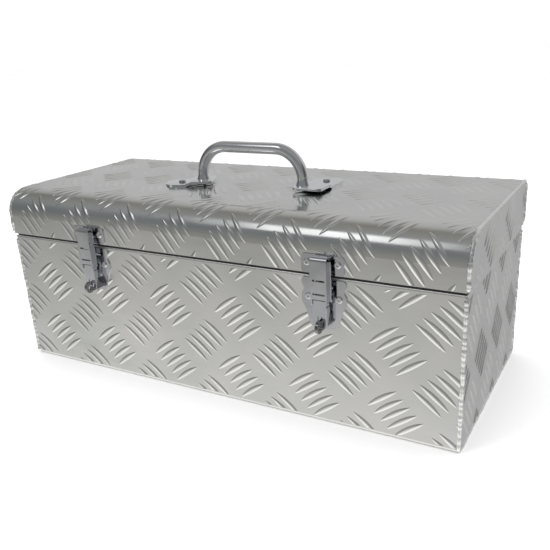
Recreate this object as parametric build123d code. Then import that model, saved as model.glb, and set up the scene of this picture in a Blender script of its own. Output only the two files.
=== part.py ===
"""Lidded aluminium battery box: welded tread-plate body and lid, rear hinge, two draw latches, top handle.

Millimetres, +Z up. The origin is the centre of the underside. +X runs along the length, and the
latches face -Y. `out` distances are measured outwards, towards -Y, from the body's front face.
"""
from build123d import *
import math
import os

# Overall size: lid length and depth, and height to the lid's top.
LENGTH = 575.0
DEPTH = 245.0
HEIGHT = 220.0

# Sheet metal.
SHEET = 2.0
OVERHANG = 1.5
BODY_TOP = 164.0
SEAM_GAP = 3.0
LID_LOW = BODY_TOP + SEAM_GAP
WALL_TOP = BODY_TOP - SHEET
LID_FRONT_RADIUS = 30.0
LID_BACK_RADIUS = 12.0
BOTTOM_BEND = 4.0
RIM_ROUND = 1.8
BODY_RIM = 15.0
LID_RIM = 13.0
WELD_PROUD = 0.8
WELD_ROUND = 1.6

LID_X = LENGTH / 2
LID_Y = DEPTH / 2
BODY_X = LID_X - OVERHANG
BODY_Y = LID_Y - OVERHANG

# Foam seal under the lid's rim.
SEAL_INSET = 3.5
SEAL_WIDTH = 9.0
SEAL_CLEAR = 0.2

# Rear hinge.
HINGE_PITCH = 30.0
HINGE_KNUCKLES = 18
KNUCKLE_RADIUS = 3.0
HINGE_PIN_RADIUS = 1.5
HINGE_Y = LID_Y + 3.2
HINGE_Z = BODY_TOP + SEAM_GAP / 2
LEAF = 1.2
LEAF_LOW = 141.0
LEAF_HIGH = 190.0
LEAF_GAP = 0.4
KNUCKLE_GAP = 0.15
HINGE_RIVET_X = (-225.0, -135.0, -45.0, 45.0, 135.0, 225.0)
BODY_RIVET_Z = 151.0
LID_RIVET_Z = 180.0

# Fits: a pin turns in RUN_FIT of radial clearance, and a fixed pin or rivet sits in FIXED_FIT.
RUN_FIT = 0.05
FIXED_FIT = 0.02

# Rivets.
RIVET_RADIUS = 2.0
RIVET_HEAD_RADIUS = 3.6
RIVET_HEAD = 1.4
RIVET_TAIL_RADIUS = 3.0
RIVET_TAIL = 1.5
RIVET_DIMPLE_RADIUS = 1.2
RIVET_DIMPLE_DEPTH = 0.9

# Draw latches.
LATCH_X = 151.5
LATCH_SHIFT = -6.0
PLATE = 1.2
BASE_RIVET = (16.7, 142.5)
STRIKE_RIVET = (16.4, 178.6)
LEVER_PIVOT = (4.6, 146.5)
HOOK_PIVOT = (8.8, 140.5)
LATCH_PIN_RADIUS = 1.2
EAR_X = (4.2, 5.4)
ARM_X = (5.7, 6.7)
CHEEK_X = (7.3, 8.5)
HOOK_FACE = (11.1, 12.5)
HOOK_CENTRE = (8.1, 182.6)
HOOK_REAR = 7.0
HOOK_FACE_LOW = 144.0
CHEEK_LOW = 139.0
HOOK_END_LOW = 180.3
FLANGE = (7.0, 8.2)
FLANGE_LOW = 142.0
FLANGE_REACH = 11.4
FACE_SLOT_HALF = 6.6
FACE_SLOT_HEIGHT = 1.8
FACE_SLOT_Z = (149.5, 163.5)
KEEPER_HALF = 6.0
KEEPER_UPTURN = (7.2, 8.4)
KEEPER_Z = (175.5, 176.9, 181.2)
TONGUE_HALF = 7.85
TONGUE_FACE = (9.6, 11.0)
TONGUE_Z = (114.0, 136.0)
NECK_HALF = 7.0
NECK_TOP = 142.5
TONGUE_SLOT_HALF = 2.5
TONGUE_SLOT_TOP = 126.0
STAPLE_HALF = 1.6
STAPLE_HALF_ROOT = 5.5
STAPLE_EYE = (14.0, 116.0)
STAPLE_EYE_RADIUS = 3.0
STAPLE_OUTER_RADIUS = 6.6

# Handle.
HANDLE_Y = -9.0
LEG_X = 67.8
BAR_RADIUS = 6.6
GRIP_Z = 265.4
CORNER_RADIUS = 34.0
FLARE_RADIUS = 8.5
FLARE_TOP_RADIUS = 5.6
FLARE_HEIGHT = 9.0
FOOT_WIDTH = 36.0
FOOT_LENGTHS = (60.0, 76.0)
FOOT_TURNS = (205.0, 90.0)
FOOT_STARTS = ((13.0, 1.5), (15.5, -10.0))
FOOT_THICK = 3.0
FOOT_LIFT = 3.0
PAD_LENGTH = 26.0
RAMP_LENGTH = 7.0
LOBE_CORNER = 16.0
SCREW_RADIUS = 2.0
SCREW_HEAD_RADIUS = 4.2
SCREW_FROM_END = 20.0
LEG_BOLT_DEPTH = 14.0


def out(distance):
    """Y coordinate of a point this far in front of the body's front face."""
    return -BODY_Y - distance


def latch_middle(side):
    """X of a latch's middle, side being -1 for the left one and 1 for the right one."""
    return side * LATCH_X + LATCH_SHIFT


def outline(points, radii):
    """Closed face through the points, each corner rounded by its radius."""
    face = make_face(Polyline(*points, close=True))
    for point, radius in zip(points, radii):
        if radius:
            corner = face.vertices().sort_by_distance(point)[0]
            face = fillet(corner, radius)
    return face


def across(face, half_length):
    """Solid from a (y, z) face, reaching the same distance to both sides of x = 0."""
    return extrude(Plane.YZ * face, half_length, both=True)


def slab(face, x_low, x_high):
    """Solid from a (y, z) face between two x positions."""
    return extrude(Plane.YZ.offset(x_low) * face, x_high - x_low)


def block(x, y, z):
    """Box from three (low, high) pairs."""
    size = [high - low for low, high in (x, y, z)]
    centre = [(high + low) / 2 for low, high in (x, y, z)]
    return Pos(*centre) * Box(*size)


def rod_x(radius, x_low, x_high, y, z):
    """Round bar along X."""
    return Pos((x_low + x_high) / 2, y, z) * Rot(0, 90, 0) * Cylinder(radius, x_high - x_low)


def rod_y(radius, x, y_low, y_high, z):
    """Round bar along Y."""
    return Pos(x, (y_low + y_high) / 2, z) * Rot(90, 0, 0) * Cylinder(radius, y_high - y_low)


def group(solids):
    """One node made of separate solids."""
    return Compound(children=[solid for solid in solids])


# ---------------------------------------------------------------- body and lid shells

def body_outline(inset, high):
    """Section of the body, inset from its outer face, with its upper edge at high."""
    low, half = inset, BODY_Y - inset
    points = [(-half, low), (half, low), (half, high), (-half, high)]
    bend = BOTTOM_BEND - inset
    return outline(points, [bend, bend, 0, 0])


def lid_outline(inset, low):
    """Section of the lid, inset from its outer face, with its lower edge at low."""
    high, half = HEIGHT - inset, LID_Y - inset
    points = [(-half, low), (half, low), (half, high), (-half, high)]
    return outline(points, [0, 0, LID_BACK_RADIUS - inset, LID_FRONT_RADIUS - inset])


def sheet_edge_holes(rivets, y_low, y_high):
    """Rivet holes through a sheet wall, for rivets at the given (x, z)."""
    return [rod_y(RIVET_RADIUS + FIXED_FIT, x, y_low, y_high, z) for x, z in rivets]


def latch_rivets(position):
    """The (x, z) of the rivets of both latches, at plus and minus the given offset."""
    offset, z = position
    return [(latch_middle(side) + way * offset, z) for side in (-1, 1) for way in (-1, 1)]


def rim(half_x, half_y, width, low):
    """Flat strip all round a mouth, its outer edge flush with the walls."""
    ring = block((-half_x, half_x), (-half_y, half_y), (low, low + SHEET))
    inner_x, inner_y = half_x - width, half_y - width
    return ring - block((-inner_x, inner_x), (-inner_y, inner_y), (low - 1, low + SHEET + 1))


def body_wrap():
    """Front, floor and back of the body, folded from one sheet."""
    wrap = across(body_outline(0, WALL_TOP) - body_outline(SHEET, WALL_TOP + 1), BODY_X - SHEET)
    wrap -= sheet_edge_holes(latch_rivets(BASE_RIVET), -BODY_Y - 1, -BODY_Y + SHEET + 1)
    back = [(x, BODY_RIVET_Z) for x in HINGE_RIVET_X]
    return wrap - sheet_edge_holes(back, BODY_Y - SHEET - 1, BODY_Y + 1)


def body_end(side):
    """End plate of the body, set in from the wrap's edges by the weld."""
    plate = slab(body_outline(SHEET, WALL_TOP), BODY_X - SHEET, BODY_X)
    return plate if side > 0 else mirror(plate, Plane.YZ)


def body_weld(side):
    """Corner weld up the front, across the floor and up the back of one end."""
    ring = body_outline(0, WALL_TOP) - body_outline(SHEET, WALL_TOP + 1)
    bead = slab(ring, BODY_X - SHEET, BODY_X + WELD_PROUD)
    edges = bead.faces().sort_by(Axis.X)[-1].outer_wire().edges().filter_by(GeomType.LINE).sort_by(Axis.Y)
    bead = fillet([edges[0], edges[-1]], WELD_ROUND)
    return bead if side > 0 else mirror(bead, Plane.YZ)


def body_rim():
    """Rim on top of the body's walls, rounded outside, which the lid's seal rests on."""
    ring = rim(BODY_X, BODY_Y, BODY_RIM, WALL_TOP)
    top = ring.faces().sort_by(Axis.Z)[-1].outer_wire().edges()
    return fillet(top, RIM_ROUND)


def lid_rim():
    """Rim inside the foot of the lid's walls, which carries the seal."""
    return rim(LID_X - SHEET, LID_Y - SHEET, LID_RIM - SHEET, LID_LOW)


def lid_wrap():
    """Back, top and rounded front of the lid, folded from one sheet."""
    wrap = across(lid_outline(0, LID_LOW) - lid_outline(SHEET, LID_LOW - 1), LID_X - SHEET)
    wrap -= sheet_edge_holes(latch_rivets(STRIKE_RIVET), -LID_Y - 1, -LID_Y + SHEET + 1)
    back = [(x, LID_RIVET_Z) for x in HINGE_RIVET_X]
    wrap -= sheet_edge_holes(back, LID_Y - SHEET - 1, LID_Y + 1)
    for x, y in handle_screw_points() + handle_leg_points():
        wrap -= Pos(x, y, HEIGHT) * Cylinder(SCREW_RADIUS + FIXED_FIT, 4 * SHEET)
    return wrap


def lid_end(side):
    """End plate of the lid, set in from the wrap's edges by the weld."""
    plate = slab(lid_outline(SHEET, LID_LOW), LID_X - SHEET, LID_X)
    return plate if side > 0 else mirror(plate, Plane.YZ)


def lid_weld(side):
    """Corner weld up the front, over the top and down the back of one end of the lid."""
    ring = lid_outline(0, LID_LOW) - lid_outline(SHEET, LID_LOW)
    bead = slab(ring, LID_X - SHEET, LID_X + WELD_PROUD)
    return bead if side > 0 else mirror(bead, Plane.YZ)


def lid_seal():
    """Flat foam strip all round, glued under the lid's rim and resting on the body's rim."""
    low, high = BODY_TOP + SEAL_CLEAR, LID_LOW
    outer_x, outer_y = LID_X - SEAL_INSET, LID_Y - SEAL_INSET
    inner_x, inner_y = outer_x - SEAL_WIDTH, outer_y - SEAL_WIDTH
    strip = block((-outer_x, outer_x), (-outer_y, outer_y), (low, high))
    return strip - block((-inner_x, inner_x), (-inner_y, inner_y), (low - 1, high + 1))


# ---------------------------------------------------------------- hinge

def knuckles(first):
    """Centres of every second knuckle along the hinge."""
    start = -HINGE_PITCH * (HINGE_KNUCKLES - 1) / 2
    return [start + HINGE_PITCH * index for index in range(first, HINGE_KNUCKLES, 2)]


def hinge_half():
    return HINGE_PITCH * HINGE_KNUCKLES / 2


def knuckle_span(centre):
    half = HINGE_PITCH / 2 - KNUCKLE_GAP
    return centre - half, centre + half


def hinge_leaf_body():
    """Lower leaf, on the body's back, with webs out to its knuckles."""
    leaf_y = (BODY_Y, BODY_Y + LEAF)
    top = HINGE_Z - KNUCKLE_RADIUS + LEAF
    leaf = block((-hinge_half(), hinge_half()), leaf_y, (LEAF_LOW, HINGE_Z - KNUCKLE_RADIUS - LEAF_GAP))
    for centre in knuckles(0):
        span = knuckle_span(centre)
        leaf += block(span, leaf_y, (LEAF_LOW, top))
        leaf += block(span, (BODY_Y, HINGE_Y), (HINGE_Z - KNUCKLE_RADIUS, top))
        leaf += rod_x(KNUCKLE_RADIUS, *span, HINGE_Y, HINGE_Z)
    leaf -= rod_x(HINGE_PIN_RADIUS + FIXED_FIT, -LID_X, LID_X, HINGE_Y, HINGE_Z)
    rivets = [(x, BODY_RIVET_Z) for x in HINGE_RIVET_X]
    return leaf - sheet_edge_holes(rivets, BODY_Y - 1, BODY_Y + LEAF + 1)


def hinge_leaf_lid():
    """Upper leaf, on the lid's back, reaching down to its knuckles."""
    leaf_y = (LID_Y, LID_Y + LEAF)
    low = HINGE_Z + KNUCKLE_RADIUS + LEAF_GAP
    leaf = block((-hinge_half(), hinge_half()), leaf_y, (low, LEAF_HIGH))
    for centre in knuckles(1):
        span = knuckle_span(centre)
        leaf += block(span, leaf_y, (HINGE_Z, LEAF_HIGH))
        leaf += rod_x(KNUCKLE_RADIUS, *span, HINGE_Y, HINGE_Z)
    leaf -= rod_x(HINGE_PIN_RADIUS + RUN_FIT, -LID_X, LID_X, HINGE_Y, HINGE_Z)
    rivets = [(x, LID_RIVET_Z) for x in HINGE_RIVET_X]
    return leaf - sheet_edge_holes(rivets, LID_Y - 1, LID_Y + LEAF + 1)


def hinge_pin():
    """Pin through every knuckle."""
    return rod_x(HINGE_PIN_RADIUS, -hinge_half() - 1, hinge_half() + 1, HINGE_Y, HINGE_Z)


# ---------------------------------------------------------------- rivets

def rivet():
    """Blind rivet through a plate and the sheet. It points along +Z, with its head's underside at 0."""
    grip = SHEET + PLATE
    head = Pos(0, 0, RIVET_HEAD / 2) * Cylinder(RIVET_HEAD_RADIUS, RIVET_HEAD)
    head = fillet(head.edges().sort_by(Axis.Z)[-1], RIVET_HEAD * 0.8)
    head -= Pos(0, 0, RIVET_HEAD) * Cylinder(RIVET_DIMPLE_RADIUS, 2 * RIVET_DIMPLE_DEPTH)
    shank = Pos(0, 0, -grip / 2) * Cylinder(RIVET_RADIUS, grip)
    tail = Pos(0, 0, -grip - RIVET_TAIL / 2) * Cylinder(RIVET_TAIL_RADIUS, RIVET_TAIL)
    return head + shank + tail


def front_rivets(side, position, surface_y):
    """The two rivets of one latch plate, their heads on the plate's front surface."""
    offset, z = position
    places = [latch_middle(side) + way * offset for way in (-1, 1)]
    return group([Pos(x, surface_y, z) * Rot(90, 0, 0) * rivet() for x in places])


def back_rivets(z, surface_y):
    """The row of rivets along one hinge leaf, their heads on the leaf's back surface."""
    return group([Pos(x, surface_y, z) * Rot(-90, 0, 0) * rivet() for x in HINGE_RIVET_X])


# ---------------------------------------------------------------- draw latch, modelled at x = 0

def plate_xz(points, radii, low, high):
    """Plate from an (x, z) outline, between two distances out from the body's front face."""
    face = outline(points, radii)
    return extrude(Plane(origin=(0, out(low), 0), x_dir=(1, 0, 0), z_dir=(0, -1, 0)) * face, high - low)


def profile_out(points, radii, half):
    """Solid from an (out, z) outline, the same distance to both sides of the latch's middle."""
    return across(outline([(out(distance), z) for distance, z in points], radii), half)


def paired(solid, x_range):
    """The part of a symmetrical solid that lies within x_range, on both sides."""
    low, high = x_range
    return solid - block((-low, low), (-2 * DEPTH, 2 * DEPTH), (0, 2 * HEIGHT))


def disc_out(centre, radius, half):
    """Round bar along X about an (out, z) centre."""
    return rod_x(radius, -half, half, out(centre[0]), centre[1])


def latch_base():
    """Waisted plate on the body with two ears for the lever's pin."""
    right = [(15, 110), (19.5, 127), (24.5, 137), (24.5, 145), (21, 150), (24, 155), (24, 161.7)]
    left = [(-x, z) for x, z in reversed(right)]
    radii = [4, 6, 4, 4, 5, 3, 3]
    plate = plate_xz(right + left, radii + radii[::-1], 0, PLATE)
    for side in (-1, 1):
        offset, z = BASE_RIVET
        plate -= rod_y(RIVET_RADIUS + FIXED_FIT, side * offset, out(PLATE + 1), out(-1), z)
    distance, z = LEVER_PIVOT
    ear = disc_out(LEVER_PIVOT, 2.8, EAR_X[1])
    ear += block((-EAR_X[1], EAR_X[1]), (out(distance), out(PLATE)), (z - 2.8, z + 2.8))
    return plate + paired(ear, EAR_X) - disc_out(LEVER_PIVOT, LATCH_PIN_RADIUS + FIXED_FIT, EAR_X[1] + 1)


def latch_staple():
    """Flat padlock staple, standing out from the base through the tongue's slot."""
    eye_out, eye_z = STAPLE_EYE
    low, high = eye_z - STAPLE_HALF_ROOT, eye_z + STAPLE_HALF_ROOT
    root = [(PLATE, low), (eye_out, low), (eye_out, high), (PLATE, high)]
    staple = profile_out(root, [0, 0, 0, 0], STAPLE_HALF)
    staple += disc_out(STAPLE_EYE, STAPLE_OUTER_RADIUS, STAPLE_HALF)
    return staple - disc_out(STAPLE_EYE, STAPLE_EYE_RADIUS, STAPLE_HALF + 1)


def latch_pin(pivot, half):
    """Pin across the latch at an (out, z) pivot."""
    return disc_out(pivot, LATCH_PIN_RADIUS, half)


def latch_lever():
    """Pull lever: arms from the base's pin to the hook's pin, and a slotted tongue below."""
    low, high = TONGUE_Z
    rear, face = TONGUE_FACE
    corners = [(-TONGUE_HALF, high), (-TONGUE_HALF, low), (TONGUE_HALF, low), (TONGUE_HALF, high)]
    tongue = plate_xz(corners, [0, 3, 3, 0], rear, face)
    slot_x = (-TONGUE_SLOT_HALF, TONGUE_SLOT_HALF)
    slot = block(slot_x, (out(face + 1), out(rear - 1)), (low - 1, TONGUE_SLOT_TOP))
    neck = block((-NECK_HALF, NECK_HALF), (out(face), out(rear)), (high - 1, NECK_TOP))
    cheek_points = [(5, high), (5, high - 6), (rear, low + 4), (rear, high)]
    cheek = profile_out(cheek_points, [0, 3, 0, 0], TONGUE_HALF)
    arm = disc_out(LEVER_PIVOT, 2.8, ARM_X[1]) + disc_out(HOOK_PIVOT, 2.1, ARM_X[1])
    reach = [(2, 145.5), (7, 128), (rear, 128), (10.4, 139), (10.2, 142), (6, 148.9)]
    arm += profile_out(reach, [0, 0, 0, 0, 1, 0], ARM_X[1])
    lever = tongue - slot + neck + paired(cheek, (ARM_X[1] - 0.1, TONGUE_HALF)) + paired(arm, ARM_X)
    lever -= disc_out(LEVER_PIVOT, LATCH_PIN_RADIUS + RUN_FIT, ARM_X[1] + 1)
    return lever - disc_out(HOOK_PIVOT, LATCH_PIN_RADIUS + FIXED_FIT, ARM_X[1] + 1)


def latch_hook():
    """Hook: a slotted front face curled over at the top, and cheeks ending in flanges at the sides."""
    inner, outer = HOOK_FACE
    centre_out, centre_z = HOOK_CENTRE
    outer_radius, inner_radius = outer - centre_out, inner - centre_out
    half = CHEEK_X[1]
    face = block((-half, half), (out(outer), out(inner)), (HOOK_FACE_LOW, centre_z))
    for z in FACE_SLOT_Z:
        slot_z = (z - FACE_SLOT_HEIGHT / 2, z + FACE_SLOT_HEIGHT / 2)
        face -= block((-FACE_SLOT_HALF, FACE_SLOT_HALF), (out(outer + 1), out(inner - 1)), slot_z)
    ring = disc_out(HOOK_CENTRE, outer_radius, half) - disc_out(HOOK_CENTRE, inner_radius, half + 1)
    ring -= block((-20, 20), (out(20), out(0)), (centre_z - 10, centre_z))
    end_y = (out(centre_out - inner_radius), out(centre_out - outer_radius))
    end = block((-KEEPER_HALF, KEEPER_HALF), end_y, (HOOK_END_LOW, centre_z))
    cheek_points = [
        (outer, CHEEK_LOW), (outer, centre_z), (HOOK_REAR, centre_z), (HOOK_REAR, CHEEK_LOW - 1.5),
        (11, CHEEK_LOW - 1.5)]
    cheeks = paired(profile_out(cheek_points, [0, 0, 0, 1.5, 1.5], half), CHEEK_X)
    flange = block((-FLANGE_REACH, FLANGE_REACH), (out(FLANGE[1]), out(FLANGE[0])), (FLANGE_LOW, centre_z))
    hook = face + ring + end + cheeks + paired(flange, (CHEEK_X[0], FLANGE_REACH))
    return hook - disc_out(HOOK_PIVOT, LATCH_PIN_RADIUS + RUN_FIT, half + 1)


def latch_strike():
    """Plate on the lid with the upturned keeper that the hook pulls on."""
    low, high, half = LID_LOW + 0.3, 187.0, 23.0
    front = OVERHANG + PLATE
    plate = plate_xz([(-half, low), (half, low), (half, high), (-half, high)], [3] * 4, OVERHANG, front)
    ledge_low, ledge_high, upturn_high = KEEPER_Z
    upturn_rear, upturn_front = KEEPER_UPTURN
    keeper_x = (-KEEPER_HALF, KEEPER_HALF)
    plate += block(keeper_x, (out(upturn_front), out(front)), (ledge_low, ledge_high))
    plate += block(keeper_x, (out(upturn_front), out(upturn_rear)), (ledge_low, upturn_high))
    for side in (-1, 1):
        offset, z = STRIKE_RIVET
        plate -= rod_y(RIVET_RADIUS + FIXED_FIT, side * offset, out(2 * PLATE + 2), out(0), z)
    return plate


# ---------------------------------------------------------------- handle

def handle_leg_points():
    """The (x, y) of the two legs."""
    return [(-LEG_X, HANDLE_Y), (LEG_X, HANDLE_Y)]


def foot_place(index):
    """Middle of a foot's inner end: behind and beside the leg, as seen along the foot's own length."""
    x, y = handle_leg_points()[index]
    behind, beside = FOOT_STARTS[index]
    return Pos(x, y, HEIGHT) * Rot(0, 0, FOOT_TURNS[index]) * Pos(-behind, beside, 0)


def handle_screw_points():
    """The (x, y) of the screw in each foot's lobe."""
    spots = [foot_place(index) * Pos(FOOT_LENGTHS[index] - SCREW_FROM_END, 0, 0) for index in (0, 1)]
    return [tuple(spot.position)[:2] for spot in spots]


def handle_foot(index):
    """Strip foot: a raised pad under the leg, a short ramp, and a rounded lobe flat on the lid."""
    length = FOOT_LENGTHS[index]
    half = FOOT_WIDTH / 2
    ramp_end = PAD_LENGTH + RAMP_LENGTH
    top = FOOT_LIFT + FOOT_THICK
    underside = [(0, FOOT_LIFT), (PAD_LENGTH, FOOT_LIFT), (ramp_end, 0), (length, 0)]
    upper_side = [(length, FOOT_THICK), (ramp_end, FOOT_THICK), (PAD_LENGTH, top), (0, top)]
    foot = extrude(Plane.XZ * outline(underside + upper_side, [1, 3, 3, 0, 1, 3, 3, 1]), half, both=True)
    corners = [(0, -half), (length, -half), (length, half), (0, half)]
    foot &= extrude(outline(corners, [6, LOBE_CORNER, LOBE_CORNER, 6]), 2 * top, both=True)
    foot -= Pos(length - SCREW_FROM_END, 0, 0) * Cylinder(SCREW_RADIUS + FIXED_FIT, 4 * top)
    x, y = handle_leg_points()[index]
    leg_hole = Pos(x, y, HEIGHT) * Cylinder(SCREW_RADIUS + FIXED_FIT, 4 * top)
    return foot_place(index) * foot - leg_hole


def handle_bar():
    """Bent round bar with flared ends standing on the feet."""
    base = HEIGHT + FOOT_LIFT + FOOT_THICK
    bend = GRIP_Z - CORNER_RADIUS
    inner = LEG_X - CORNER_RADIUS
    diagonal = CORNER_RADIUS * math.sqrt(0.5)
    turn_x, turn_z = inner + diagonal, bend + diagonal
    path = Line((-LEG_X, HANDLE_Y, base), (-LEG_X, HANDLE_Y, bend))
    path += ThreePointArc((-LEG_X, HANDLE_Y, bend), (-turn_x, HANDLE_Y, turn_z), (-inner, HANDLE_Y, GRIP_Z))
    path += Line((-inner, HANDLE_Y, GRIP_Z), (inner, HANDLE_Y, GRIP_Z))
    path += ThreePointArc((inner, HANDLE_Y, GRIP_Z), (turn_x, HANDLE_Y, turn_z), (LEG_X, HANDLE_Y, bend))
    path += Line((LEG_X, HANDLE_Y, bend), (LEG_X, HANDLE_Y, base))
    bar = sweep(Plane(origin=(-LEG_X, HANDLE_Y, base), z_dir=(0, 0, 1)) * Circle(BAR_RADIUS), path)
    for x, y in handle_leg_points():
        bar += Pos(x, y, base + FLARE_HEIGHT / 2) * Cone(FLARE_RADIUS, FLARE_TOP_RADIUS, FLARE_HEIGHT)
        bar -= Pos(x, y, base) * Cylinder(SCREW_RADIUS + FIXED_FIT, 2 * LEG_BOLT_DEPTH)
    return bar


def handle_screws():
    """Pan-head screw through each lobe, its nut under the lid's top."""
    top = HEIGHT + FOOT_THICK
    low = HEIGHT - SHEET
    screws = []
    for x, y in handle_screw_points():
        head = fillet(Cylinder(SCREW_HEAD_RADIUS, 2.2).edges().sort_by(Axis.Z)[-1], 1.4)
        shank = Pos(x, y, (top + low) / 2) * Cylinder(SCREW_RADIUS, top - low)
        nut = Pos(x, y, low - 1.6) * extrude(RegularPolygon(4.0, 6), 1.6, both=True)
        screws.append(Pos(x, y, top + 1.1) * head + shank + nut)
    return group(screws)


def handle_leg_bolts():
    """Bolt up through the lid and pad into each leg, its hexagon head under the lid's top."""
    low = HEIGHT - SHEET
    high = HEIGHT + FOOT_LIFT + FOOT_THICK + LEG_BOLT_DEPTH - 1
    bolts = []
    for x, y in handle_leg_points():
        shank = Pos(x, y, (low + high) / 2) * Cylinder(SCREW_RADIUS, high - low)
        head = Pos(x, y, low - 1.5) * extrude(RegularPolygon(4.0, 6), 1.5, both=True)
        bolts.append(shank + head)
    return group(bolts)


# ---------------------------------------------------------------- assembly

def build():
    """Every node of the box, by name."""
    nodes = {
        "body_wrap": body_wrap(),
        "body_rim": body_rim(),
        "lid_wrap": lid_wrap(),
        "lid_rim": lid_rim(),
        "lid_seal": lid_seal(),
        "hinge_leaf_body": hinge_leaf_body(),
        "hinge_leaf_lid": hinge_leaf_lid(),
        "hinge_pin": hinge_pin(),
        "hinge_rivets_body": back_rivets(BODY_RIVET_Z, BODY_Y + LEAF),
        "hinge_rivets_lid": back_rivets(LID_RIVET_Z, LID_Y + LEAF),
        "handle_bar": handle_bar(),
        "handle_foot_left": handle_foot(0),
        "handle_foot_right": handle_foot(1),
        "handle_screws": handle_screws(),
        "handle_leg_bolts": handle_leg_bolts(),
    }
    for name, side in (("left", -1), ("right", 1)):
        middle = Pos(latch_middle(side), 0, 0)
        nodes[f"body_end_{name}"] = body_end(side)
        nodes[f"body_weld_{name}"] = body_weld(side)
        nodes[f"lid_end_{name}"] = lid_end(side)
        nodes[f"lid_weld_{name}"] = lid_weld(side)
        nodes[f"latch_base_{name}"] = middle * latch_base()
        nodes[f"latch_staple_{name}"] = middle * latch_staple()
        nodes[f"latch_lever_{name}"] = middle * latch_lever()
        nodes[f"latch_lever_pin_{name}"] = middle * latch_pin(LEVER_PIVOT, ARM_X[1] + 0.4)
        nodes[f"latch_hook_{name}"] = middle * latch_hook()
        nodes[f"latch_hook_pin_{name}"] = middle * latch_pin(HOOK_PIVOT, CHEEK_X[1] + 0.4)
        nodes[f"latch_strike_{name}"] = middle * latch_strike()
        nodes[f"latch_base_rivets_{name}"] = front_rivets(side, BASE_RIVET, out(PLATE))
        nodes[f"latch_strike_rivets_{name}"] = front_rivets(side, STRIKE_RIVET, out(OVERHANG + PLATE))
    return nodes


os.makedirs("parts", exist_ok=True)
for node_name, shape in build().items():
    export_step(shape, f"parts/{node_name}.step")
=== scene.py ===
"""Looks of the aluminium tread-plate battery box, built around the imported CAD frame.

Metres, in the frame's own axes: +X along the length, the latches face -Y, +Z up, floor at z = 0.
The raised tread bars and the lumpy corner welds are modelled here. Every other piece is the CAD node
itself with a procedural metal or foam material, and the pressed plates also get softened edges.
"""

import math

import bmesh
import bpy
from mathutils import Matrix, Vector, noise


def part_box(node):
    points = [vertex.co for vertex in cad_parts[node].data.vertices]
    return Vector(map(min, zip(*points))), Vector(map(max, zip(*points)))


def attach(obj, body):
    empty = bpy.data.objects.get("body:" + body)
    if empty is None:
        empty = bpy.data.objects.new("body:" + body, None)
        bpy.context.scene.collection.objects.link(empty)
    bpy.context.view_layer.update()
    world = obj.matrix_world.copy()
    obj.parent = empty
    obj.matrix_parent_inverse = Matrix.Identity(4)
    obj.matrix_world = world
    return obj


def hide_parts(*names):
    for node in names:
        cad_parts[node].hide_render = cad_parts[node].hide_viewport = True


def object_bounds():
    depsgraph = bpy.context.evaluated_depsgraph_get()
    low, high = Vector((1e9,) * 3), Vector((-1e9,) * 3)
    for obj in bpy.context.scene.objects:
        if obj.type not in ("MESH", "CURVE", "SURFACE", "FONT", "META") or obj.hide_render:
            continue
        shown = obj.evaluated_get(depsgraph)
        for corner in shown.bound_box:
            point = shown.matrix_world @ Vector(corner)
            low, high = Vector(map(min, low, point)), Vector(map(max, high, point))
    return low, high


MM = 0.001

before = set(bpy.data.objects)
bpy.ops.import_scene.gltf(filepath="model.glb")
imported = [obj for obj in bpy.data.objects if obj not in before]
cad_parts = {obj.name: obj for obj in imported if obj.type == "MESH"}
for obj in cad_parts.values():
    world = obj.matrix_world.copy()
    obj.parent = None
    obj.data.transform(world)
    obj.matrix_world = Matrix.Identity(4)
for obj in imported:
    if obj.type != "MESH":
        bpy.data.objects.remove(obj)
cad_low, cad_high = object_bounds()
scene = bpy.context.scene

# ---------------------------------------------------------------- sizes read from the frame
body_low, body_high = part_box("body_wrap")
lid_low, lid_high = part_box("lid_wrap")
body_end_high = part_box("body_end_right")[1]
lid_end_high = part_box("lid_end_right")[1]

BODY_X = body_end_high.x
BODY_Y = body_high.y
BODY_TOP = body_high.z
LID_X = lid_end_high.x
LID_Y = lid_high.y
LID_LOW = lid_low.z
LID_TOP = lid_high.z
LID_FRONT_RADIUS = 30 * MM
LID_BACK_RADIUS = 12 * MM

# ---------------------------------------------------------------- tread pattern
# Five-bar groups stand on a centred grid, and every second group is mirrored.
PITCH_LONG = 90.5 * MM
PITCH_SHORT = 70 * MM
GROUPS_EACH_WAY = 12
BARS_PER_GROUP = 5
BAR_STEP = 10.2 * MM
BAR_ANGLE = math.radians(37.5)
BAR_LENGTH = 41 * MM
BAR_WIDTH = 6.4 * MM
BAR_HEIGHT = 0.72 * MM
BAR_BOW = 1.1 * MM
BAR_ROOT = 0.25 * MM
BAR_STATIONS = 15
BAR_PROFILE = (-1, -0.86, -0.62, -0.32, 0, 0.32, 0.62, 0.86, 1)
BAR_FULLNESS = 0.8
SHARP_EDGE = math.radians(60)
CORNER_CUTS = 6
CUT_TOLERANCE = 1e-7

# Bars on the end plates stand this many times higher, and bars pressed under a fastened plate lower.
END_BAR_RISE = 1.6
COVERED_HEIGHT = 0.65 * MM
COVER_MARGIN = 1 * MM

# The plain margin left along a panel's edges, and above the bend at the body's floor.
PANEL_EDGE = 2.4 * MM
LID_SHEET_EDGE = 0.8 * MM
BODY_TOP_EDGE = 2.2 * MM
LID_END_LOW_EDGE = 1 * MM
FLOOR_BEND = 5 * MM
BODY_V = (FLOOR_BEND, BODY_TOP - BODY_TOP_EDGE)
LID_END_V = (LID_LOW + LID_END_LOW_EDGE, LID_TOP - PANEL_EDGE)

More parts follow.
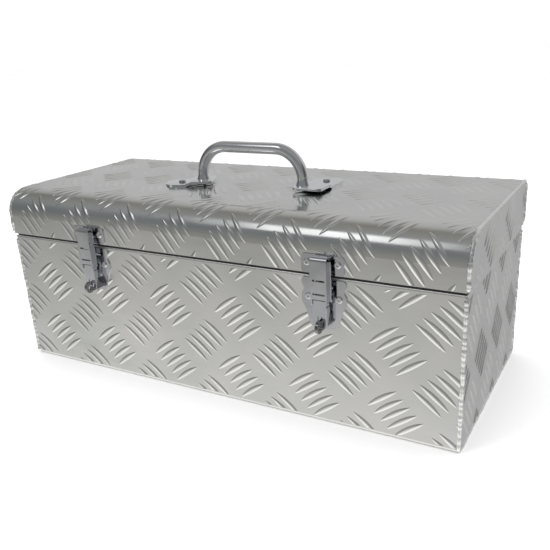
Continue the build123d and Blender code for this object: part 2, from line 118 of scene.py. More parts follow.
# Centre of one group on each panel, and how far the body's front and back sheets are rolled off square.
FRONT_ANCHOR = (41 * MM, 102 * MM)
BACK_ANCHOR = (12 * MM, 66 * MM)
END_ANCHOR = {1: (-88.5 * MM, 33.7 * MM), -1: (-30 * MM, 33.7 * MM)}
LID_END_ANCHOR = {1: (-46.8 * MM, 193 * MM), -1: (46.8 * MM, 193 * MM)}
LID_ANCHOR = (242.7 * MM, 23.3 * MM)
SHEET_SKEW = math.radians(1.3)
QUARTER = math.pi / 2

# ---------------------------------------------------------------- weld beads
BEAD_RADIUS = 2.7 * MM
BEAD_INSET = 1.2 * MM
BEAD_STEP = 0.8 * MM
BEAD_SIDES = 12
BEAD_CORE = 0.84
BEAD_LUMP = 0.10
BEAD_UNEVEN = 0.24
BEAD_ROUGH = 0.08
BEAD_WANDER = 0.35 * MM
BEAD_TIP = 0.35
BEAD_TIP_GROWTH = 0.22
FLAT_BEAD = 0.66
BEAD_END_GAP = 1 * MM
BEAD_FLOOR_GAP = 0.2 * MM
RIPPLE = 6.2 * MM
RIPPLE_DRIFT = 0.9

# The bead's noise: how many times each unevenness turns over in a metre, and the lane it is read from.
DRIFT_GRAIN = 60
UNEVEN_GRAIN, UNEVEN_LANE = 120, 3.1
WANDER_GRAIN, WANDER_LANE = 90, 7.7
ROUGH_GRAIN = 500
BODY_BEAD_SEED = 11.3
LID_BEAD_SEED = 31.9
NEXT_SEED = 5
BOTTOM_CORNER = 3 * MM
ARC_PARTS = 8

# ---------------------------------------------------------------- softened edges
SOFT_EDGED = (
    "latch_base_left", "latch_base_right", "latch_lever_left", "latch_lever_right", "latch_hook_left",
    "latch_hook_right", "latch_strike_left", "latch_strike_right", "handle_foot")
EDGE_ROUND = 0.3 * MM
EDGE_SEGMENTS = 2
EDGE_ANGLE = math.radians(50)


# ================================================================ materials
NOISE_LOW = 0.3
NOISE_HIGH = 0.7


def new_material(name):
    """Empty node material with its output and a Principled shader."""
    material = bpy.data.materials.new(name)
    material.use_nodes = True
    nodes = material.node_tree.nodes
    nodes.clear()
    shader = nodes.new("ShaderNodeBsdfPrincipled")
    output = nodes.new("ShaderNodeOutputMaterial")
    material.node_tree.links.new(shader.outputs["BSDF"], output.inputs["Surface"])
    return material, nodes, material.node_tree.links, shader


def object_noise(nodes, links, scale, detail, stretch=(1, 1, 1), turn=0.0):
    """Noise value in object space, stretched along the axes and turned off them."""
    coordinate = nodes.new("ShaderNodeTexCoord")
    mapping = nodes.new("ShaderNodeMapping")
    mapping.inputs["Scale"].default_value = stretch
    mapping.inputs["Rotation"].default_value = (turn, turn * 0.7, turn)
    texture = nodes.new("ShaderNodeTexNoise")
    texture.inputs["Scale"].default_value = scale
    texture.inputs["Detail"].default_value = detail
    links.new(coordinate.outputs["Object"], mapping.inputs["Vector"])
    links.new(mapping.outputs["Vector"], texture.inputs["Vector"])
    return texture.outputs["Fac"]


def spread(nodes, links, value, low, high):
    """The noise value, stretched from its usual range to low..high."""
    node = nodes.new("ShaderNodeMapRange")
    node.inputs["From Min"].default_value = NOISE_LOW
    node.inputs["From Max"].default_value = NOISE_HIGH
    node.inputs["To Min"].default_value = low
    node.inputs["To Max"].default_value = high
    links.new(value, node.inputs["Value"])
    return node.outputs["Result"]


def two_tone(nodes, links, value, dark, light):
    """Colour between dark and light, following the noise value."""
    ramp = nodes.new("ShaderNodeValToRGB")
    ramp.color_ramp.elements[0].position = NOISE_LOW
    ramp.color_ramp.elements[1].position = NOISE_HIGH
    ramp.color_ramp.elements[0].color = (*dark, 1)
    ramp.color_ramp.elements[1].color = (*light, 1)
    links.new(value, ramp.inputs["Fac"])
    return ramp.outputs["Color"]


def bump(nodes, links, shader, value, strength, distance, under=None):
    """Bump from the value, on top of an earlier bump's normal if one is given."""
    node = nodes.new("ShaderNodeBump")
    node.inputs["Strength"].default_value = strength
    node.inputs["Distance"].default_value = distance
    links.new(value, node.inputs["Height"])
    if under:
        links.new(under, node.inputs["Normal"])
    links.new(node.outputs["Normal"], shader.inputs["Normal"])
    return node.outputs["Normal"]


def sheet_metal(name, dark, light, rough, wave, grain):
    """Rolled aluminium: cloudy tone, brushed rolling lines, faint scuffs and slow waves in the sheet."""
    material, nodes, links, shader = new_material(name)
    shader.inputs["Metallic"].default_value = 1.0
    clouds = object_noise(nodes, links, scale=14, detail=4)
    links.new(two_tone(nodes, links, clouds, dark, light), shader.inputs["Base Color"])
    scuffs = object_noise(nodes, links, scale=60, stretch=(0.35, 2.2, 1.6), turn=0.5, detail=5)
    links.new(spread(nodes, links, scuffs, *rough), shader.inputs["Roughness"])
    slow = object_noise(nodes, links, scale=9, detail=1)
    waves = bump(nodes, links, shader, slow, strength=1.0, distance=wave)
    lines = object_noise(nodes, links, scale=900, stretch=(0.06, 1, 1), detail=2)
    bump(nodes, links, shader, lines, strength=0.35, distance=grain, under=waves)
    return material


def plated_metal(name, dark, light, rough, pit):
    """Bright or plated metal: nearly even tone, handling smears and a fine pitted surface."""
    material, nodes, links, shader = new_material(name)
    shader.inputs["Metallic"].default_value = 1.0
    smears = object_noise(nodes, links, scale=45, detail=4)
    links.new(two_tone(nodes, links, smears, dark, light), shader.inputs["Base Color"])
    links.new(spread(nodes, links, smears, *rough), shader.inputs["Roughness"])
    peel = object_noise(nodes, links, scale=420, detail=2)
    bump(nodes, links, shader, peel, strength=0.5, distance=pit)
    return material


def foam(name, dark, light):
    """Closed-cell foam: dull, with small open cells."""
    material, nodes, links, shader = new_material(name)
    cells = object_noise(nodes, links, scale=700, detail=4)
    links.new(two_tone(nodes, links, cells, dark, light), shader.inputs["Base Color"])
    links.new(spread(nodes, links, cells, low=0.75, high=0.95), shader.inputs["Roughness"])
    bump(nodes, links, shader, cells, strength=0.8, distance=0.4 * MM)
    return material


SATIN = sheet_metal(
    "satin_tread_plate", dark=(0.70, 0.715, 0.695), light=(0.80, 0.785, 0.775), rough=(0.26, 0.38),
    wave=0.9 * MM, grain=0.02 * MM)
# The bars are pressed from the same sheet as the plate but are given a lighter tone than SATIN: a painted
# highlight on the raised bars.
SATIN_BAR_PAINTED_LIGHTER = sheet_metal(
    "satin_tread_bar_painted_highlight", dark=(0.74, 0.74, 0.72), light=(0.86, 0.855, 0.84), rough=(0.26, 0.36),
    wave=0.2 * MM, grain=0.02 * MM)
POLISHED = sheet_metal(
    "polished_tread_plate", dark=(0.71, 0.725, 0.71), light=(0.80, 0.79, 0.785), rough=(0.12, 0.22),
    wave=1.0 * MM, grain=0.01 * MM)
# These bars are pressed from the same sheet as the lid but are given a lighter tone than POLISHED: a
# painted highlight on the raised bars.
POLISHED_BAR_PAINTED_LIGHTER = sheet_metal(
    "polished_tread_bar_painted_highlight", dark=(0.76, 0.765, 0.75), light=(0.87, 0.865, 0.86), rough=(0.15, 0.24),
    wave=0.2 * MM, grain=0.01 * MM)
WELD = plated_metal("weld_bead", (0.90, 0.90, 0.90), (0.98, 0.98, 0.98), (0.30, 0.46), 0.35 * MM)
LATCH = plated_metal("latch_chrome", (0.54, 0.55, 0.58), (0.68, 0.68, 0.72), (0.08, 0.16), 0.02 * MM)
STAPLE = plated_metal("staple_steel", (0.20, 0.20, 0.21), (0.34, 0.34, 0.36), (0.12, 0.22), 0.02 * MM)
HANDLE = plated_metal("handle_chrome", (0.84, 0.85, 0.87), (0.94, 0.95, 0.96), (0.03, 0.07), 0.02 * MM)
HINGE = plated_metal("hinge_steel", (0.48, 0.48, 0.48), (0.60, 0.60, 0.59), (0.24, 0.38), 0.03 * MM)
RIVET = plated_metal("rivet", (0.66, 0.66, 0.66), (0.80, 0.80, 0.80), (0.16, 0.28), 0.03 * MM)
SCREW = plated_metal("screw_steel", (0.50, 0.50, 0.51), (0.62, 0.62, 0.63), (0.15, 0.27), 0.03 * MM)
FOAM = foam("foam_seal", (0.012, 0.012, 0.013), (0.030, 0.030, 0.032))

MATERIAL_OF = {
    "body_wrap": SATIN, "body_end": SATIN, "body_rim": SATIN, "body_weld": WELD,
    "lid_wrap": POLISHED, "lid_end": SATIN, "lid_rim": SATIN, "lid_weld": WELD, "lid_seal": FOAM,
    "hinge_leaf": HINGE, "hinge_pin": HINGE, "hinge_rivets": RIVET,
    "latch": LATCH, "latch_staple": STAPLE, "latch_base_rivets": RIVET, "latch_strike_rivets": RIVET,
    "handle": HANDLE, "handle_screws": SCREW, "handle_leg_bolts": SCREW,
}


def material_for(node_name):
    """Material of a CAD node: the longest entry of MATERIAL_OF that its name starts with."""
    matches = [start for start in MATERIAL_OF if node_name.startswith(start)]
    return MATERIAL_OF[max(matches, key=len)]


def dress_cad_nodes():
    """Material for every CAD node, and softened edges on the pressed plates of the latches and feet."""
    for name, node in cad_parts.items():
        node.data.materials.clear()
        node.data.materials.append(material_for(name))
        if name.startswith(SOFT_EDGED):
            soften = node.modifiers.new("soft_edges", "BEVEL")
            soften.width = EDGE_ROUND
            soften.segments = EDGE_SEGMENTS
            soften.limit_method = "ANGLE"
            soften.angle_limit = EDGE_ANGLE
            soften.harden_normals = True


# ================================================================ pieces
def smooth(mesh):
    """Outward normals and smooth shading on every face."""
    bmesh.ops.recalc_face_normals(mesh, faces=mesh.faces)
    for face in mesh.faces:
        face.smooth = True


def linked_piece(mesh, name, material):
    """The finished bmesh as an object in the scene."""
    data = bpy.data.meshes.new(name)
    mesh.to_mesh(data)
    mesh.free()
    data.materials.append(material)
    piece = bpy.data.objects.new(name, data)
    scene.collection.objects.link(piece)
    return piece


# ================================================================ tread bars
class Panel:
    """One flat or rolled-up stretch of tread plate, in its own (u, v) with h outwards from the sheet."""

    def __init__(self, name, body, material, slot, place, u_range, v_range, anchor, turn,
                 corners=(), covers=()):
        self.name = name
        self.body = body
        self.material = material
        self.slot = slot
        self.place = place
        self.u_range = u_range
        self.v_range = v_range
        self.anchor = anchor
        self.turn = turn
        self.corners = corners
        self.covers = covers


def bar_height_limit(panel, u, v):
    """Highest that a bar may stand here: low where a plate or hinge leaf is fastened over it."""
    for u_low, u_high, v_low, v_high in panel.covers:
        if u_low <= u <= u_high and v_low <= v <= v_high:
            return COVERED_HEIGHT
    return BAR_HEIGHT


def add_bar(mesh, centre, angle):
    """Closed lens-shaped bar in (u, v, h), pointed at both ends and bowed to one side."""
    along = Vector((math.cos(angle), math.sin(angle), 0))
    aside = Vector((-along.y, along.x, 0))
    up = Vector((0, 0, 1))
    rings = []
    for i in range(BAR_STATIONS):
        t = -1 + 2 * i / (BAR_STATIONS - 1)
        spine = centre + along * (t * BAR_LENGTH / 2) + aside * (BAR_BOW * (1 - t * t))
        if i in (0, BAR_STATIONS - 1):
            rings.append([mesh.verts.new(spine - up * BAR_ROOT)])
            continue
        half = BAR_WIDTH / 2 * (1 - t * t) ** BAR_FULLNESS
        height = BAR_HEIGHT * (1 - t ** 4)
        ring = []
        for c in BAR_PROFILE:
            arch = (0.5 + 0.5 * math.cos(math.pi * c)) ** BAR_FULLNESS
            rise = height * arch if abs(c) < 1 else -BAR_ROOT
            ring.append(mesh.verts.new(spine + aside * (half * c) + up * rise))
        rings.append(ring)
    count = len(BAR_PROFILE)
    for a, b in zip(rings, rings[1:]):
        for k in range(count):
            n = (k + 1) % count
            if len(a) == 1:
                mesh.faces.new((a[0], b[n], b[k]))
            elif len(b) == 1:
                mesh.faces.new((a[k], a[n], b[0]))
            else:
                mesh.faces.new((a[k], a[n], b[n], b[k]))


def group_centres(panel):
    """(centre, kind) of every five-bar group that may reach the panel."""
    turn = Matrix.Rotation(panel.turn, 3, "Z")
    anchor = Vector((*panel.anchor, 0))
    u_low, u_high = panel.u_range
    v_low, v_high = panel.v_range
    reach = BAR_LENGTH
    places = range(-GROUPS_EACH_WAY, GROUPS_EACH_WAY + 1)
    for kind in (0, 1):
        for i in places:
            for j in places:
                local = Vector(((i + kind / 2) * PITCH_LONG, (j + kind / 2) * PITCH_SHORT, 0))
                centre = anchor + turn @ local
                in_u = u_low - reach < centre.x < u_high + reach
                in_v = v_low - reach < centre.y < v_high + reach
                if in_u and in_v:
                    yield centre, kind


def cut(mesh, point, normal):
    """Removes what lies beyond the plane, and closes the cut."""
    everything = mesh.verts[:] + mesh.edges[:] + mesh.faces[:]
    result = bmesh.ops.bisect_plane(
        mesh, geom=everything, dist=CUT_TOLERANCE, plane_co=point, plane_no=normal, clear_outer=True)
    edges = [g for g in result["geom_cut"] if isinstance(g, bmesh.types.BMEdge)]
    bmesh.ops.holes_fill(mesh, edges=edges, sides=0)


def add_groups(mesh, panel):
    """Every bar of every group, still in (u, v, h) and running past the panel's edges."""
    turn = Matrix.Rotation(panel.turn, 3, "Z")
    for centre, kind in group_centres(panel):
        sign = 1 if kind == 0 else -1
        angle = panel.turn + sign * BAR_ANGLE
        step = turn @ Vector((sign * math.cos(math.pi / 4), -math.sin(math.pi / 4), 0)) * BAR_STEP
        for k in range(BARS_PER_GROUP):
            add_bar(mesh, centre + step * (k - (BARS_PER_GROUP - 1) / 2), angle)


def trim_to_panel(mesh, panel):
    """Cuts the bars off at the panel's four edges and round its curved corners."""
    u_low, u_high = panel.u_range
    v_low, v_high = panel.v_range
    cut(mesh, (u_low, 0, 0), (-1, 0, 0))
    cut(mesh, (u_high, 0, 0), (1, 0, 0))
    cut(mesh, (0, v_low, 0), (0, -1, 0))
    cut(mesh, (0, v_high, 0), (0, 1, 0))
    for (u, v), radius, start in panel.corners:
        for k in range(CORNER_CUTS + 1):
            direction = start + QUARTER * k / CORNER_CUTS
            normal = Vector((math.cos(direction), math.sin(direction), 0))
            cut(mesh, Vector((u, v, 0)) + normal * radius, normal)


def tread_bars(panel):
    """All the raised bars of one panel as one mesh, cut at the panel's edges and laid on its surface."""
    mesh = bmesh.new()
    add_groups(mesh, panel)
    trim_to_panel(mesh, panel)
    for vertex in mesh.verts:
        u, v, h = vertex.co
        vertex.co = panel.place(u, v, min(h, bar_height_limit(panel, u, v)))
    smooth(mesh)
    for edge in mesh.edges:
        if len(edge.link_faces) == 2 and edge.calc_face_angle(0) > SHARP_EDGE:
            edge.smooth = False
    piece = linked_piece(mesh, panel.name, panel.material)
    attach(piece, panel.body)


def place_front(u, v, h):
    """Placement on the body's front."""
    return Vector((u, -BODY_Y - h, v))


def place_back(u, v, h):
    """Placement on the body's back; u runs to the right as seen from behind."""
    return Vector((-u, BODY_Y + h, v))


def place_end(side, x):
    """Placement on an end plate; u runs along the depth, to the right as seen from outside."""
    return lambda u, v, h: Vector((side * (x + END_BAR_RISE * h), side * u, v))


LID_FRONT_WALL = LID_TOP - LID_FRONT_RADIUS - LID_LOW
LID_FRONT_ARC = LID_FRONT_RADIUS * QUARTER
LID_FLAT = 2 * LID_Y - LID_FRONT_RADIUS - LID_BACK_RADIUS
LID_BACK_ARC = LID_BACK_RADIUS * QUARTER
LID_BACK_WALL = LID_TOP - LID_BACK_RADIUS - LID_LOW
LID_GIRTH = LID_FRONT_WALL + LID_FRONT_ARC + LID_FLAT + LID_BACK_ARC + LID_BACK_WALL


def place_lid(u, v, h):
    """v runs from the lid's lower front edge, up the front, over the top and down the back."""
    if v < LID_FRONT_WALL:
        return Vector((u, -LID_Y - h, LID_LOW + v))
    v -= LID_FRONT_WALL
    if v < LID_FRONT_ARC:
        angle = v / LID_FRONT_RADIUS
        reach = LID_FRONT_RADIUS + h
        centre_y = -LID_Y + LID_FRONT_RADIUS
        centre_z = LID_TOP - LID_FRONT_RADIUS
        return Vector((u, centre_y - reach * math.cos(angle), centre_z + reach * math.sin(angle)))
    v -= LID_FRONT_ARC
    if v < LID_FLAT:
        return Vector((u, -LID_Y + LID_FRONT_RADIUS + v, LID_TOP + h))
    v -= LID_FLAT
    if v < LID_BACK_ARC:
        angle = v / LID_BACK_RADIUS
        reach = LID_BACK_RADIUS + h
        centre_y = LID_Y - LID_BACK_RADIUS
        centre_z = LID_TOP - LID_BACK_RADIUS
        return Vector((u, centre_y + reach * math.sin(angle), centre_z + reach * math.cos(angle)))
    return Vector((u, LID_Y + h, LID_TOP - LID_BACK_RADIUS - (v - LID_BACK_ARC)))


def same_height(z):
    """Developed v of a height on the body's front or back."""
    return z


def lid_front_v(z):
    """Developed v of a height on the lid's front wall."""
    return z - LID_LOW


def lid_back_v(z):
    """Developed v of a height on the lid's back wall."""
    return LID_GIRTH - (z - LID_LOW)


def lid_top_v(y):
    """Developed v of a depth on the lid's flat top."""
    return LID_FRONT_WALL + LID_FRONT_ARC + LID_Y - LID_FRONT_RADIUS + y


def cover(u_pair, v_pair):
    """(u, v) rectangle with a margin all round, from two pairs in any order."""
    u_low, u_high = sorted(u_pair)
    v_low, v_high = sorted(v_pair)
    return (u_low - COVER_MARGIN, u_high + COVER_MARGIN, v_low - COVER_MARGIN, v_high + COVER_MARGIN)


def covered_by(node, across=1, height=same_height):
    """Rectangle behind a plate that lies on a front or back wall, from the plate's own box."""
    low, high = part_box(node)
    return cover((across * low.x, across * high.x), (height(low.z), height(high.z)))


def covered_by_foot(node):
    """Rectangle under a handle foot on the lid's top."""
    low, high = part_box(node)
    return cover((low.x, high.x), (lid_top_v(low.y), lid_top_v(high.y)))


def lid_end_corners(side):
    """(centre, radius, first direction) of the two rounded corners of a lid end, in its own (u, v)."""
    front = (-side * (LID_Y - LID_FRONT_RADIUS), LID_TOP - LID_FRONT_RADIUS)
    back = (side * (LID_Y - LID_BACK_RADIUS), LID_TOP - LID_BACK_RADIUS)
    front_start, back_start = (QUARTER, 0) if side > 0 else (0, QUARTER)
    return (
        (front, LID_FRONT_RADIUS - PANEL_EDGE, front_start),
        (back, LID_BACK_RADIUS - PANEL_EDGE, back_start))


def trimmed(half):
    """(low, high) across a sheet that reaches half to both sides, without its plain edges."""
    return (-half + PANEL_EDGE, half - PANEL_EDGE)


def wall_panels():
    """Panels of the body's front and back."""
    front_covers = [covered_by("latch_base_left"), covered_by("latch_base_right")]
    back_covers = [covered_by("hinge_leaf_body", across=-1)]
    yield Panel("tread_bars_front", "box", SATIN_BAR_PAINTED_LIGHTER, "tread_plate", place_front, trimmed(BODY_X),
                BODY_V, FRONT_ANCHOR, -SHEET_SKEW, covers=front_covers)
    yield Panel("tread_bars_back", "box", SATIN_BAR_PAINTED_LIGHTER, "tread_plate", place_back, trimmed(BODY_X),
                BODY_V, BACK_ANCHOR, SHEET_SKEW, covers=back_covers)


def end_panels():
    """Panels of both ends of the body and of the lid."""
    for side, name in ((1, "right"), (-1, "left")):
        yield Panel(f"tread_bars_end_{name}", "box", SATIN_BAR_PAINTED_LIGHTER, "tread_plate", place_end(side, BODY_X),
                    trimmed(BODY_Y), BODY_V, END_ANCHOR[side], -QUARTER)
        yield Panel(f"tread_bars_lid_end_{name}", "lid", SATIN_BAR_PAINTED_LIGHTER, "tread_plate", place_end(side, LID_X),
                    trimmed(LID_Y), LID_END_V, LID_END_ANCHOR[side], 0, corners=lid_end_corners(side))


def lid_panel():
    """The lid's front, top and back as one rolled panel."""
    covers = [
        covered_by("latch_strike_left", height=lid_front_v),
        covered_by("latch_strike_right", height=lid_front_v),
        covered_by("hinge_leaf_lid", height=lid_back_v),
        covered_by_foot("handle_foot_left"),
        covered_by_foot("handle_foot_right"),
    ]
    return Panel("tread_bars_lid", "lid", POLISHED_BAR_PAINTED_LIGHTER, "polished_tread_plate", place_lid,
                 trimmed(LID_X), (LID_SHEET_EDGE, LID_GIRTH - LID_SHEET_EDGE), LID_ANCHOR, -QUARTER,
                 covers=covers)


# ================================================================ weld beads
def rounded_path(corners, radii):
    """Points every BEAD_STEP along straight runs joined by arcs, in (y, z)."""
    legs = []
    for i, corner in enumerate(corners):
        here = Vector(corner)
        if i in (0, len(corners) - 1) or not radii[i]:
            legs.append([here])
            continue
        back = (Vector(corners[i - 1]) - here).normalized()
        ahead = (Vector(corners[i + 1]) - here).normalized()
        centre = here + (back + ahead) * radii[i]
        arc = []
        for k in range(ARC_PARTS + 1):
            angle = QUARTER * k / ARC_PARTS
            arc.append(centre - (ahead * math.cos(angle) + back * math.sin(angle)) * radii[i])
        legs.append(arc)
    points = [p for leg in legs for p in leg]
    path = [points[0]]
    for a, b in zip(points, points[1:]):
        count = max(1, round((b - a).length / BEAD_STEP))
        path += [a.lerp(b, (k + 1) / count) for k in range(count)]
    return path


def bead_radius(travelled, seed, to_tip):
    """Radius of the bead at a distance along it; to_tip counts the rings to its nearer end."""
    drift = RIPPLE_DRIFT * noise.noise((travelled * DRIFT_GRAIN, seed, 0))
    lump = abs(math.sin(math.pi * (travelled / RIPPLE + drift)))
    uneven = noise.noise((travelled * UNEVEN_GRAIN, seed, UNEVEN_LANE))
    radius = BEAD_RADIUS * (BEAD_CORE + BEAD_LUMP * lump + BEAD_UNEVEN * uneven)
    return radius * min(1.0, BEAD_TIP + BEAD_TIP_GROWTH * to_tip)


def bead_ring(mesh, centre, outward, radius, travelled, seed):
    """One slightly rough ring of the bead, across its direction."""
    ring = []
    for k in range(BEAD_SIDES):
        angle = 2 * math.pi * k / BEAD_SIDES
        across, away = math.cos(angle), math.sin(angle)
        spot = (travelled * ROUGH_GRAIN, across * 2 + seed, away * 2)
        rough = 1 + BEAD_ROUGH * noise.noise(spot)
        offset = Vector((across, 0, 0)) + outward * away
        ring.append(mesh.verts.new(centre + offset * radius * rough))
    return ring


def weld_bead(name, body, node, x, path, seed):
    """Hand-laid bead: overlapping ripples of uneven size that wander a little off the corner."""
    mesh = bmesh.new()
    rings = []
    travelled = 0.0
    last = len(path) - 1
    for i, point in enumerate(path):
        before = path[max(i - 1, 0)]
        after = path[min(i + 1, last)]
        travelled += (point - before).length
        direction = (after - before).normalized()
        outward = Vector((0, -direction.y, direction.x))
        radius = bead_radius(travelled, seed, min(i, last - i))
        if point.y > LID_TOP - 2 * BEAD_RADIUS:
            radius *= FLAT_BEAD
        wander = BEAD_WANDER * noise.noise((travelled * WANDER_GRAIN, seed, WANDER_LANE))
        centre = Vector((x + wander, point.x, point.y)) + outward * wander
        rings.append(bead_ring(mesh, centre, outward, radius, travelled, seed))
    for a, b in zip(rings, rings[1:]):
        for k in range(BEAD_SIDES):
            n = (k + 1) % BEAD_SIDES
            mesh.faces.new((a[k], a[n], b[n], b[k]))
    mesh.faces.new(rings[0])
    mesh.faces.new(reversed(rings[-1]))
    smooth(mesh)
    piece = linked_piece(mesh, name, WELD)
    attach(piece, body)
    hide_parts(node)


def body_weld_path():
    """(y, z) path down the front corner, along under the end and up the back corner."""
    side_y = BODY_Y - BEAD_INSET
    low, high = BEAD_RADIUS + BEAD_FLOOR_GAP, BODY_TOP - BEAD_END_GAP
    corners = [(-side_y, high), (-side_y, low), (side_y, low), (side_y, high)]
    return rounded_path(corners, (0, BOTTOM_CORNER, BOTTOM_CORNER, 0))


def lid_weld_path():
    """(y, z) path up the lid's front edge, over its top and down its back."""
    side_y = LID_Y - BEAD_INSET
    low, high = LID_LOW + BEAD_END_GAP, LID_TOP - BEAD_INSET
    corners = [(-side_y, low), (-side_y, high), (side_y, high), (side_y, low)]
    return rounded_path(corners, (0, LID_FRONT_RADIUS - BEAD_INSET, LID_BACK_RADIUS - BEAD_INSET, 0))


def make_welds():
    """Beads round both ends of the body and of the lid, in place of the plain ones."""
    for index, (side, name) in enumerate(((-1, "left"), (1, "right"))):
        weld_bead(f"body_weld_bead_{name}", "box", f"body_weld_{name}",
                  side * (BODY_X - BEAD_INSET), body_weld_path(), BODY_BEAD_SEED + index * NEXT_SEED)
        weld_bead(f"lid_weld_bead_{name}", "lid", f"lid_weld_{name}",
                  side * (LID_X - BEAD_INSET), lid_weld_path(), LID_BEAD_SEED + index * NEXT_SEED)


# ================================================================ studio
FLOOR_RADIUS = 14
FLOOR_SIDES = 96
FLOOR_DROP = 0.3 * MM


def floor_paper():
    """Matt white paper with the faintest unevenness."""
    material, nodes, links, shader = new_material("floor_paper")
    cloud = object_noise(nodes, links, scale=1.5, detail=2)
    links.new(two_tone(nodes, links, cloud, (0.90, 0.90, 0.90), (0.93, 0.93, 0.93)),
              shader.inputs["Base Color"])
    shader.inputs["Roughness"].default_value = 0.9
    shader.inputs["Specular IOR Level"].default_value = 0.1
    return material


def make_floor():
    """Pale floor that runs to the horizon, left out of reflections."""
    mesh = bmesh.new()
    bmesh.ops.create_circle(mesh, cap_ends=True, segments=FLOOR_SIDES, radius=FLOOR_RADIUS)
    floor = linked_piece(mesh, "studio_floor", floor_paper())
    floor.location.z = min(cad_low.z, 0) - FLOOR_DROP
    floor.visible_glossy = False


# Brightness of the studio seen in a reflection, by the angle over the box from the front floor (-90),
# through the front horizon (0), straight up (90), the back horizon (180), to the floor behind (270).
STUDIO_RING = (
    (-90, (1.30, 1.30, 1.28)),
    (-62, (1.22, 1.22, 1.20)),
    (-44, (0.90, 0.90, 0.88)),
    (-32, (0.72, 0.72, 0.705)),
    (-25, (0.56, 0.56, 0.54)),
    (-20, (0.36, 0.355, 0.335)),
    (-8, (0.28, 0.278, 0.262)),
    (7.5, (0.22, 0.225, 0.225)),
    (23, (0.18, 0.19, 0.195)),
    (39, (0.20, 0.21, 0.22)),
    (54, (0.275, 0.285, 0.295)),
    (70, (0.28, 0.285, 0.28)),
    (85, (0.26, 0.26, 0.25)),
    (101, (0.225, 0.22, 0.205)),
    (112, (0.33, 0.325, 0.31)),
    (120, (0.43, 0.43, 0.42)),
    (132, (0.49, 0.49, 0.485)),
    (147, (0.51, 0.51, 0.51)),
    (180, (0.52, 0.52, 0.525)),
    (205, (0.47, 0.47, 0.48)),
    (270, (0.70, 0.70, 0.69)),
)

# A softbox above the front, in reflections only. Its middle, half size and soft edge are given as the angle
# over the box, and as the X of the direction towards it.
SOFTBOX_ANGLE = math.radians(50)
SOFTBOX_HALF_ANGLE = math.radians(9)
SOFTBOX_SOFT_ANGLE = math.radians(5)
SOFTBOX_X = -0.40
SOFTBOX_HALF_X = 0.08
SOFTBOX_SOFT_X = 0.08
SOFTBOX_GLOW = 1.1

# The studio's two sides: they darken between these X of a direction, down to this share.
SIDE_FADE = (0.70, 0.97)
SIDE_SHARE = 0.35
SEEN_STRENGTH = 1.12


def math_node(nodes, links, operation, *inputs):
    """Output of a math node, its inputs given as numbers or as other nodes' outputs."""
    node = nodes.new("ShaderNodeMath")
    node.operation = operation
    for socket, value in zip(node.inputs, inputs):
        if isinstance(value, (int, float)):
            socket.default_value = value
        else:
            links.new(value, socket)
    return node.outputs[0]


def fade(nodes, links, value, start, end, low):
    """1 up to the start, falling smoothly to low at the end."""
    node = nodes.new("ShaderNodeMapRange")
    node.interpolation_type = "SMOOTHSTEP"
    node.inputs["From Min"].default_value = start
    node.inputs["From Max"].default_value = end
    node.inputs["To Min"].default_value = 1.0
    node.inputs["To Max"].default_value = low
    links.new(value, node.inputs["Value"])
    return node.outputs["Result"]


def band(nodes, links, value, centre, half, soft):
    """1 within half of the centre, falling smoothly to 0 over the soft edge outside it."""
    away = math_node(nodes, links, "ABSOLUTE", math_node(nodes, links, "SUBTRACT", value, centre))
    return fade(nodes, links, away, half, half + soft, 0.0)


def vector_node(nodes, links, operation, first, second, second_socket):
    """Output of a vector math node with two linked inputs."""
    node = nodes.new("ShaderNodeVectorMath")
    node.operation = operation
    links.new(first, node.inputs[0])
    links.new(second, node.inputs[second_socket])
    return node.outputs[0]


def studio_ring(nodes, links, angle):
    """Colour of the studio's bands at an angle over the box, in radians."""
    turns = math_node(nodes, links, "DIVIDE", angle, 2 * math.pi)
    ramp = nodes.new("ShaderNodeValToRGB")
    links.new(math_node(nodes, links, "ADD", turns, 0.25), ramp.inputs["Fac"])
    elements = ramp.color_ramp.elements
    for degrees, colour in STUDIO_RING[1:-1]:
        element = elements.new((degrees + 90) / 360)
        element.color = (*colour, 1)
    elements[0].color = (*STUDIO_RING[0][1], 1)
    elements[-1].color = (*STUDIO_RING[-1][1], 1)
    return ramp.outputs["Color"]


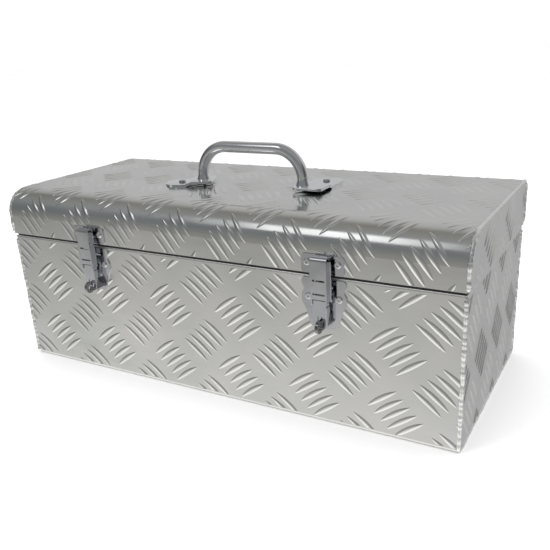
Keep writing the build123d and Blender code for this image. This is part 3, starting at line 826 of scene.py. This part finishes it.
def make_world():
    """White to the eye; the studio's bands, softbox and darker sides in reflections."""
    world = bpy.data.worlds.new("studio")
    world.use_nodes = True
    scene.world = world
    nodes = world.node_tree.nodes
    links = world.node_tree.links
    nodes.clear()
    split = nodes.new("ShaderNodeSeparateXYZ")
    links.new(nodes.new("ShaderNodeTexCoord").outputs["Generated"], split.inputs[0])
    x, y, z = split.outputs
    angle = math_node(nodes, links, "ARCTAN2", z, math_node(nodes, links, "MULTIPLY", y, -1))
    angle = math_node(nodes, links, "WRAP", angle, 3 * QUARTER, -QUARTER)
    bands = studio_ring(nodes, links, angle)
    sides = fade(nodes, links, math_node(nodes, links, "ABSOLUTE", x), *SIDE_FADE, SIDE_SHARE)
    dimmed = vector_node(nodes, links, "SCALE", bands, sides, "Scale")

    height = band(nodes, links, angle, SOFTBOX_ANGLE, SOFTBOX_HALF_ANGLE, SOFTBOX_SOFT_ANGLE)
    width = band(nodes, links, x, SOFTBOX_X, SOFTBOX_HALF_X, SOFTBOX_SOFT_X)
    inside = math_node(nodes, links, "MULTIPLY", height, width)
    glow = math_node(nodes, links, "MULTIPLY", inside, SOFTBOX_GLOW)

    mirrored = nodes.new("ShaderNodeBackground")
    links.new(vector_node(nodes, links, "ADD", dimmed, glow, 1), mirrored.inputs["Color"])
    seen = nodes.new("ShaderNodeBackground")
    seen.inputs["Color"].default_value = (1, 1, 1, 1)
    seen.inputs["Strength"].default_value = SEEN_STRENGTH
    mix = nodes.new("ShaderNodeMixShader")
    links.new(nodes.new("ShaderNodeLightPath").outputs["Is Glossy Ray"], mix.inputs["Fac"])
    links.new(seen.outputs[0], mix.inputs[1])
    links.new(mirrored.outputs[0], mix.inputs[2])
    output = nodes.new("ShaderNodeOutputWorld")
    links.new(mix.outputs[0], output.inputs["Surface"])


def make_softbox(name, position, target, width, depth, power):
    """Soft light on the floor and foam. Metal mirrors the world's own softbox instead."""
    aim = Vector(target) - Vector(position)
    data = bpy.data.lights.new(name, "AREA")
    data.shape = "RECTANGLE"
    data.size = width
    data.size_y = depth
    data.energy = power
    light = bpy.data.objects.new(name, data)
    light.location = position
    light.rotation_euler = aim.to_track_quat("-Z", "Y").to_euler()
    light.visible_glossy = False
    scene.collection.objects.link(light)


# The camera stands off the right front, a little above the lid.
CAMERA_PLACE = (0.4179, -0.6738, 0.3856)
CAMERA_FORWARD = (-0.4572, 0.8104, -0.3663)
CAMERA_RIGHT = (0.8787, 0.4752, -0.0454)
CAMERA_LENS = 44.0
CAMERA_SENSOR = 36
CAMERA_SHIFT = (-0.0262, 0.0422)
CAMERA_RANGE = (0.01, 100)


def make_camera():
    """Camera set square from its forward and right directions."""
    data = bpy.data.cameras.new("camera")
    camera = bpy.data.objects.new("camera", data)
    data.sensor_width = CAMERA_SENSOR
    data.lens = CAMERA_LENS
    data.shift_x, data.shift_y = CAMERA_SHIFT
    data.clip_start, data.clip_end = CAMERA_RANGE
    forward = Vector(CAMERA_FORWARD).normalized()
    right = Vector(CAMERA_RIGHT)
    right = (right - forward * right.dot(forward)).normalized()
    up = right.cross(forward)
    turn = Matrix((right, up, -forward)).transposed().to_4x4()
    camera.matrix_world = Matrix.Translation(CAMERA_PLACE) @ turn
    scene.collection.objects.link(camera)
    scene.camera = camera


dress_cad_nodes()
for each_panel in (*wall_panels(), *end_panels(), lid_panel()):
    tread_bars(each_panel)
make_welds()
make_floor()
make_world()
make_softbox("key_softbox", position=(-0.65, -1.35, 1.5), target=(0.1, 0, 0.15),
             width=0.5, depth=1.3, power=6)
make_softbox("floor_fill", position=(0.6, -0.6, 2.4), target=(0, 0, 0),
             width=2.5, depth=2.5, power=25)
make_camera()
scene.view_settings.view_transform = "Standard"
